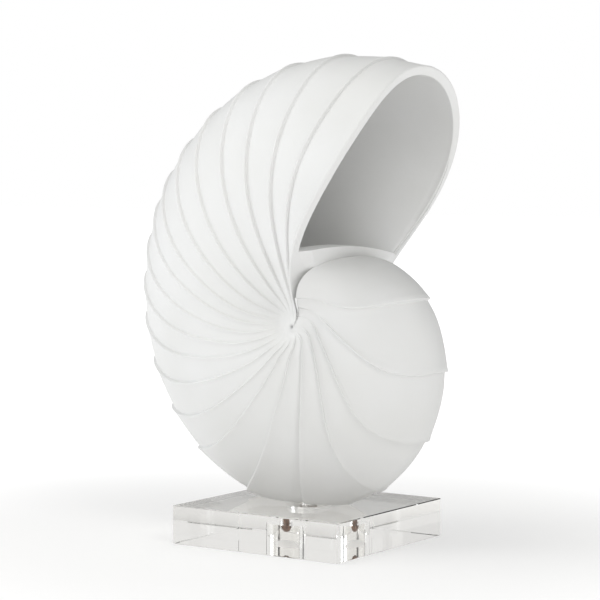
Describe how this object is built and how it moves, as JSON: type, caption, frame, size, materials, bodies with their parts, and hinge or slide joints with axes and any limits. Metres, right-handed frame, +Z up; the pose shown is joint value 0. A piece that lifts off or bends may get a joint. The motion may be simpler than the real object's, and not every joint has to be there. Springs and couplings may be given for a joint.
{
  "type": "decorative nautilus shell sculpture on a clear block",
  "caption": "White cast nautilus shell sculpture with ribbed flanks and an open mouth, screwed to a clear square block.",
  "frame": {"origin": "middle of the overall box at its foot, on the clear block's underside plane", "axes": "+Z up; X along the coil's plane with the mouth opening towards +X; Y across the shell, along the coil's axis"},
  "size_m": [0.2828, 0.1658, 0.3792],
  "materials": {
    "cast_white": "matte white paint on cast resin, faint brushed and sanded texture",
    "clear_acrylic": "polished clear acrylic",
    "bronzed_screw": "brown bronzed steel, satin",
    "insert_brass": "machined"
  },
  "bodies": {
    "root": {"nautilus_shell": "cast_white", "acrylic_base": "clear_acrylic", "fixing_screw": "bronzed_screw", "threaded_insert": "insert_brass"}
  },
  "joints": []
}
